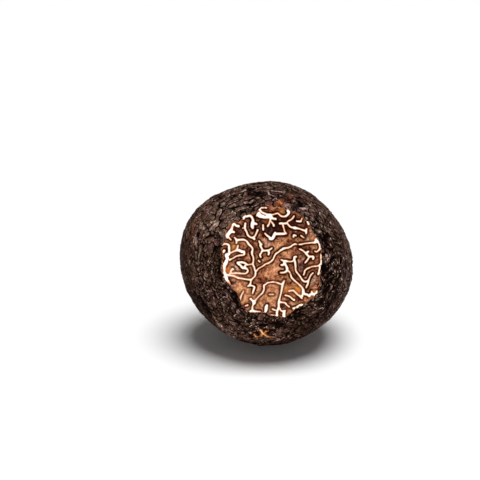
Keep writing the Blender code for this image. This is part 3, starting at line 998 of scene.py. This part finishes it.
def lay_flesh(net, body):
    """Close the cut with flesh: a fine lattice that also follows the veins."""
    rim = rim_of(net, body)
    flat = body.on_cut(rim) / MM
    veins = vein_lines()
    points = [*flat, *lattice(flat, veins)]
    edges = []
    for line in veins:
        last = None
        for spot, far in zip(line, inside_by(line[:, :2], flat)):
            if far <= VEIN_END:
                last = None
                continue
            points.append(spot[:2])
            if last is not None:
                edges.append((last, len(points) - 1))
            last = len(points) - 1
    corners, _, faces, origins, *_ = geometry.delaunay_2d_cdt(
        [Vector(point) for point in points], edges, [list(range(len(rim)))], 1, CORNERS_MEET
    )
    spots = np.array([tuple(corner) for corner in corners])
    foot, right, up = (np.array(v) for v in (body.foot, body.right, body.up))
    laid = foot + (spots[:, :1] * right + spots[:, 1:] * up) * MM
    for index, sources in enumerate(origins):
        for source in sources:
            if source < len(rim):
                laid[index] = rim[source]
    mesh = bpy.data.meshes.new("flesh")
    mesh.from_pydata(laid.tolist(), [], faces)
    flesh = bpy.data.objects.new("flesh", mesh)
    bpy.context.scene.collection.objects.link(flesh)
    away, thick = outside_veins(spots, veins)
    drawn = (spots - FLESH_SHIFT) / FLESH_SCALE
    stain, dull = (blots(drawn, marks).max(axis=0) for marks in (STAINS, DULL))
    shade = blots(drawn, SHADES).sum(axis=0)
    edge = inside_by(spots, flat)
    note(
        mesh,
        (("vein", away), ("thick", thick), ("stain", stain), ("shade", shade), ("dull", dull), ("rim", edge)),
    )
    return flesh


# ---- the whole truffle
def lay_out(truffle, body):
    """Lay the finished surface out flat for baking: the rind as a round map, and the cut face beside it."""
    mesh = truffle.data
    corners = np.empty(len(mesh.loops), dtype=np.int32)
    mesh.loops.foreach_get("vertex_index", corners)
    away = (places(mesh) - np.array(body.middle))[corners]
    across, along, out = (away @ np.array(way) for way in (body.right, body.up, body.normal))
    turn = np.arctan2(along, across)
    behind = (np.arccos(np.clip(-out / np.linalg.norm(away, axis=1), -1, 1)) / pi) ** MAP_CROWDING
    flesh = np.repeat(
        [face.material_index == 1 for face in mesh.polygons], [face.loop_total for face in mesh.polygons]
    )
    far = np.hypot(across, along)
    reach = np.where(flesh, FLESH_MAP * far / far[flesh].max(), RIND_MAP * behind / behind[~flesh].max())
    middle = np.where(flesh, 1 - FLESH_MAP - MAP_EDGE, RIND_MAP + MAP_EDGE)
    laid = np.stack([middle + reach * np.cos(turn), middle + reach * np.sin(turn)], axis=1)
    mesh.uv_layers.new(name="OFBake").data.foreach_set("uv", laid.reshape(-1).astype(np.float32))


def build_truffle(body):
    """The truffle in one closed piece, its rind and flesh joined along a sharp rim."""
    rng = np.random.default_rng(SEED)
    rind = wart_net(rng, body)
    grow_together(rind, rng, body)
    raise_warts(rind)
    press_on(rind, rng, body)
    slice_off(rind, body)
    flesh = lay_flesh(rind, body)
    for part, finish in ((rind, rind_material()), (flesh, flesh_material())):
        part.data.materials.append(finish)
        part.data.polygons.foreach_set("use_smooth", np.ones(len(part.data.polygons), dtype=bool))
    only(rind, flesh)
    bpy.ops.object.join()
    edit(rind, action="SELECT")
    bpy.ops.mesh.remove_doubles(threshold=SAME_PLACE / 2)
    bpy.ops.mesh.select_all(action="SELECT")
    bpy.ops.mesh.normals_make_consistent(inside=False)
    close()
    work = bmesh.new()
    work.from_mesh(rind.data)
    for edge in work.edges:
        edge.smooth = len({face.material_index for face in edge.link_faces}) == 1
    work.to_mesh(rind.data)
    work.free()
    lay_out(rind, body)
    rind.name = rind.data.name = "truffle_with_slice_off"
    return rind


# ---- finishes
def new_finish(name, marks, grains, roughness, gloss):
    """A material, and the nodes that read the piece's marks and make its grains."""
    finish = bpy.data.materials.new(name)
    finish.use_nodes = True
    tree = finish.node_tree
    shader = tree.nodes["Principled BSDF"]
    shader.inputs["Roughness"].default_value = roughness
    shader.inputs["Specular IOR Level"].default_value = gloss
    place = add(tree, "TexCoord").outputs["Object"]
    read = [add(tree, "Attribute", attribute_name=mark).outputs["Fac"] for mark in marks]
    for lump, detail, rough, bent in grains:
        look = {"Vector": place, "Scale": 1 / (lump * MM), "Detail": detail, "Roughness": rough}
        read.append(add(tree, "TexNoise", {**look, "Distortion": bent}))
    return finish, tree, shader, read


def rind_material():
    """Peridium of a black truffle, dried in the air. It is leathery and hardly shines. Its warts are a dull
    brown and streaked, with painted highlights on their raised edges and tips, and pale flecks that are
    partly rubbed skin and partly painted glints. Painted shade darkens parts of the rind, and its cracks and
    pits are painted nearly black for the shade in them."""
    marks = ("dark", "light", "tone", "furrow", "rust", "scar", "pale", "gloom", "calm")
    rind, tree, shader, read = new_finish("black_truffle_rind", marks, RIND_GRAINS, 0.55, 0.015)
    dark, light, tone, furrow, rust, scar, pale, gloom, calm, streak, sprinkle, patch, speck, nap = read

    # how pale each spot is: streaks, the wart's own tone, painted highlights on raised edges and tips, and
    # painted shade that painted light lessens
    grit = add(tree, "MapRange", {"Value": calm, "To Min": 1.7, "To Max": 0.5})
    level = add(tree, "Math", {0: streak, 1: 0.5}, operation="SUBTRACT")
    level = add(tree, "Math", {0: level, 1: grit, 2: 0.355}, operation="MULTIPLY_ADD")
    for mark, share in ((tone, 0.10), (light, 0.54), (gloom, -0.14)):
        level = add(tree, "Math", {0: mark, 1: share, 2: level}, operation="MULTIPLY_ADD")
    browns = [
        (0.10, "180B06"), (0.32, "38241B"), (0.5, "543F37"), (0.7, "7A645A"), (0.9, "AA948A"), (1, "D6BEB2")
    ]
    tops = add(tree, "ValToRGB", {"Fac": level}, browns)
    tint = add(tree, "Math", {0: patch, 1: speck}, operation="ADD")
    tint = add(tree, "ValToRGB", {"Fac": tint}, [(0.85, "F8FCE8"), (0.999, "FEF9F2"), (1.0, "FFF3F7")])
    colour = add(tree, "Mix", {0: 1, 6: tops, 7: tint}, data_type="RGBA", blend_type="MULTIPLY")

    # over that, each with its share and its colour: pale flecks that are partly painted glints, rust, painted
    # shade in the cracks, broken edges and pits, painted shadow in the furrows, and raw scars
    fleck = add(tree, "MapRange", {0: sprinkle, "From Min": 0.76, "From Max": 0.80, "To Max": 0.5})
    flecked = add(tree, "Math", {0: pale, 1: fleck}, operation="MAXIMUM")
    ragged_hollow_shade = add(tree, "Math", {0: streak, 1: -0.6, 2: dark}, operation="MULTIPLY_ADD")
    black = add(tree, "MapRange", {"Value": ragged_hollow_shade, "From Min": -0.26, "From Max": -0.02})
    shadow = add(tree, "Math", {0: furrow, 1: 0.92}, operation="MULTIPLY")
    torn = add(tree, "MapRange", {"Value": scar, "From Min": 0.1, "From Max": 0.45})
    raw = add(tree, "ValToRGB", {"Fac": scar}, [(0.25, "8C4418"), (0.6, "D28A4C"), (0.9, "F6D8A8")])
    for share, coat in (
        (flecked, linear("C8A092")),
        (rust, linear("8A4630")),
        (black, linear("0A0302")),
        (shadow, linear("080403")),
        (torn, raw),
    ):
        colour = add(tree, "Mix", {0: share, 6: colour, 7: coat}, data_type="RGBA")
    tree.links.new(colour.outputs[2], shader.inputs["Base Color"])
    bump = add(tree, "Bump", {"Height": nap, "Strength": 0.6, "Distance": NAP_DEPTH * MM})
    tree.links.new(bump.outputs["Normal"], shader.inputs["Normal"])
    return rind


def flesh_material():
    """Gleba of a ripe black truffle, freshly sliced. It is moist but not wet, so it shines a little. It is
    fine-grained and brown, near-black beside the pale veins, and orange where the juice has dried."""
    marks = ("vein", "thick", "stain", "shade", "rim", "dull")
    flesh, tree, shader, read = new_finish("black_truffle_flesh", marks, FLESH_GRAINS, 0.5, 0.03)
    vein, thick, stain, shade, edge, dull, grain, ragged, patch, depth, nibble = read

    # the brown flesh, in clouds
    level = add(tree, "Math", {0: grain, 1: 2.4, 2: -1.28}, operation="MULTIPLY_ADD")
    for mark, share in ((ragged, 1.2), (shade, 0.62)):
        level = add(tree, "Math", {0: mark, 1: share, 2: level}, operation="MULTIPLY_ADD")
    brown = add(
        tree,
        "ValToRGB",
        {"Fac": level},
        [(0.05, "240E08"), (0.25, "582C1C"), (0.48, "8E573D"), (0.68, "BA7E5A"), (0.95, "E4AD84")],
    )
    tint = add(tree, "ValToRGB", {"Fac": patch}, [(0.38, "F8FAE8"), (0.62, "FFF3F3")])
    colour = add(tree, "Mix", {0: 1, 6: brown, 7: tint}, data_type="RGBA", blend_type="MULTIPLY")
    greyed = add(tree, "MapRange", {"Value": dull, "To Min": 1, "To Max": 0.66})
    colour = add(tree, "HueSaturation", {"Saturation": greyed, "Color": colour})

    # blotches in a stain, a wavering skin beside each vein, a frayed rim, a vein's nibbled edge, and how
    # much of the vein and of its skin a stain leaves
    blotch, wavering, frayed, nibbled, soaked, unstained = (
        add(tree, "Math", {0: value, 1: share, 2: rest}, operation="MULTIPLY_ADD")
        for value, share, rest in (
            (grain, 2.2, -0.15),
            (ragged, -0.9, vein),
            (ragged, -1.6, edge),
            (nibble, 0.28, vein),
            (stain, -0.5, 1),
            (stain, -0.8, 1),
        )
    )
    # each of these is at its most up to the first distance, and gone at the second
    skinned, by_rim, fringe, on_vein = (
        add(tree, "MapRange", {0: value, "From Min": low, "From Max": high, "To Min": most, "To Max": 0})
        for value, low, high, most in (
            (wavering, -0.10, 0.24, 1),
            (frayed, -0.80, -0.55, 0.35),
            (vein, 0.03, 0.17, 0.9),
            (nibbled, 0.11, 0.20, 1),
        )
    )
    # the skin is darker along some stretches and in dark flesh, and weaker in a stain
    depth = add(tree, "Math", {0: depth, 1: 2.6, 2: -0.55}, operation="MULTIPLY_ADD")
    depth = add(tree, "Math", {0: shade, 1: -1.3, 2: depth}, operation="MULTIPLY_ADD")
    depth = add(tree, "MapRange", {"Value": depth, "To Min": 0.7, "To Max": 1})
    for share in (depth, unstained):
        skinned = add(tree, "Math", {0: skinned, 1: share}, operation="MULTIPLY")
    darkness = add(tree, "Math", {0: wavering, 1: 0.5}, operation="ADD")
    stained = add(tree, "Math", {0: stain, 1: blotch}, operation="MULTIPLY", use_clamp=True)
    whitened = add(tree, "Math", {0: on_vein, 1: soaked}, operation="MULTIPLY")
    amber, skin, cream = (
        add(tree, "ValToRGB", {"Fac": value}, stops)
        for value, stops in (
            (stained, [(0.3, "A86A3A"), (0.6, "E08E3E"), (0.95, "CC6018")]),
            (darkness, [(0.36, "050100"), (0.52, "240602"), (0.68, "582410")]),
            (thick, [(0.1, "F6D8BE"), (0.2, "FFF0E0"), (0.3, "FFFCF6")]),
        )
    )
    for share, coat in (
        (stained, amber),
        (skinned, skin),
        (by_rim, linear("A8684A")),
        (fringe, linear("CC7038")),
        (whitened, cream),
    ):
        colour = add(tree, "Mix", {0: share, 6: colour, 7: coat}, data_type="RGBA")
    tree.links.new(colour.outputs[2], shader.inputs["Base Color"])
    return flesh


# ---- table, lights, camera
def set_table():
    """A matt white painted board, which shines nowhere, much wider than the view."""
    bpy.ops.mesh.primitive_plane_add(size=TABLE_WIDTH, location=(0, 0, 0))
    table = bpy.context.object
    table.name = "table"
    white = bpy.data.materials.new("white_table")
    white.use_nodes = True
    shader = white.node_tree.nodes["Principled BSDF"]
    shader.inputs["Base Color"].default_value = linear(TABLE_WHITE)
    shader.inputs["Specular IOR Level"].default_value = 0.0
    table.data.materials.append(white)


def set_lights():
    """A wide soft light overhead, a strip in front, and a white room."""
    for name, kind, power, place, aim, shape in LAMPS:
        light = bpy.data.lights.new(name, kind)
        light.energy = power
        for setting, value in shape.items():
            setattr(light, setting, value)
        turn_to(bpy.data.objects.new(name, light), place, aim)
    world = bpy.data.worlds.new("white_room")
    bpy.context.scene.world = world
    world.use_nodes = True
    tree = world.node_tree
    straight = add(tree, "LightPath").outputs["Is Camera Ray"]
    strength = add(tree, "MapRange", {"Value": straight, "To Min": ROOM_LIGHT, "To Max": 1.0})
    background = tree.nodes["Background"]
    background.inputs["Color"].default_value = linear(ROOM_WHITE)
    tree.links.new(strength.outputs[0], background.inputs["Strength"])


def set_camera(body):
    """A long lens, from the front and a little above."""
    camera = bpy.data.objects.new("camera", bpy.data.cameras.new("camera"))
    camera.data.lens = 85
    camera.data.sensor_width = 36
    camera.data.clip_start = 0.01
    camera.data.clip_end = 10
    aim = body.middle + (RIGHT * AIM[0] + UPWARD * AIM[1]) * MM
    turn_to(camera, body.middle + OUTWARD * LOOK_FROM * MM, aim)
    bpy.context.scene.camera = camera
    bpy.context.scene.view_settings.view_transform = "Standard"


only()
solid = Body(NODE)
truffle = build_truffle(solid)
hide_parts(NODE)
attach(truffle, "root")
set_table()
set_lights()
set_camera(solid)
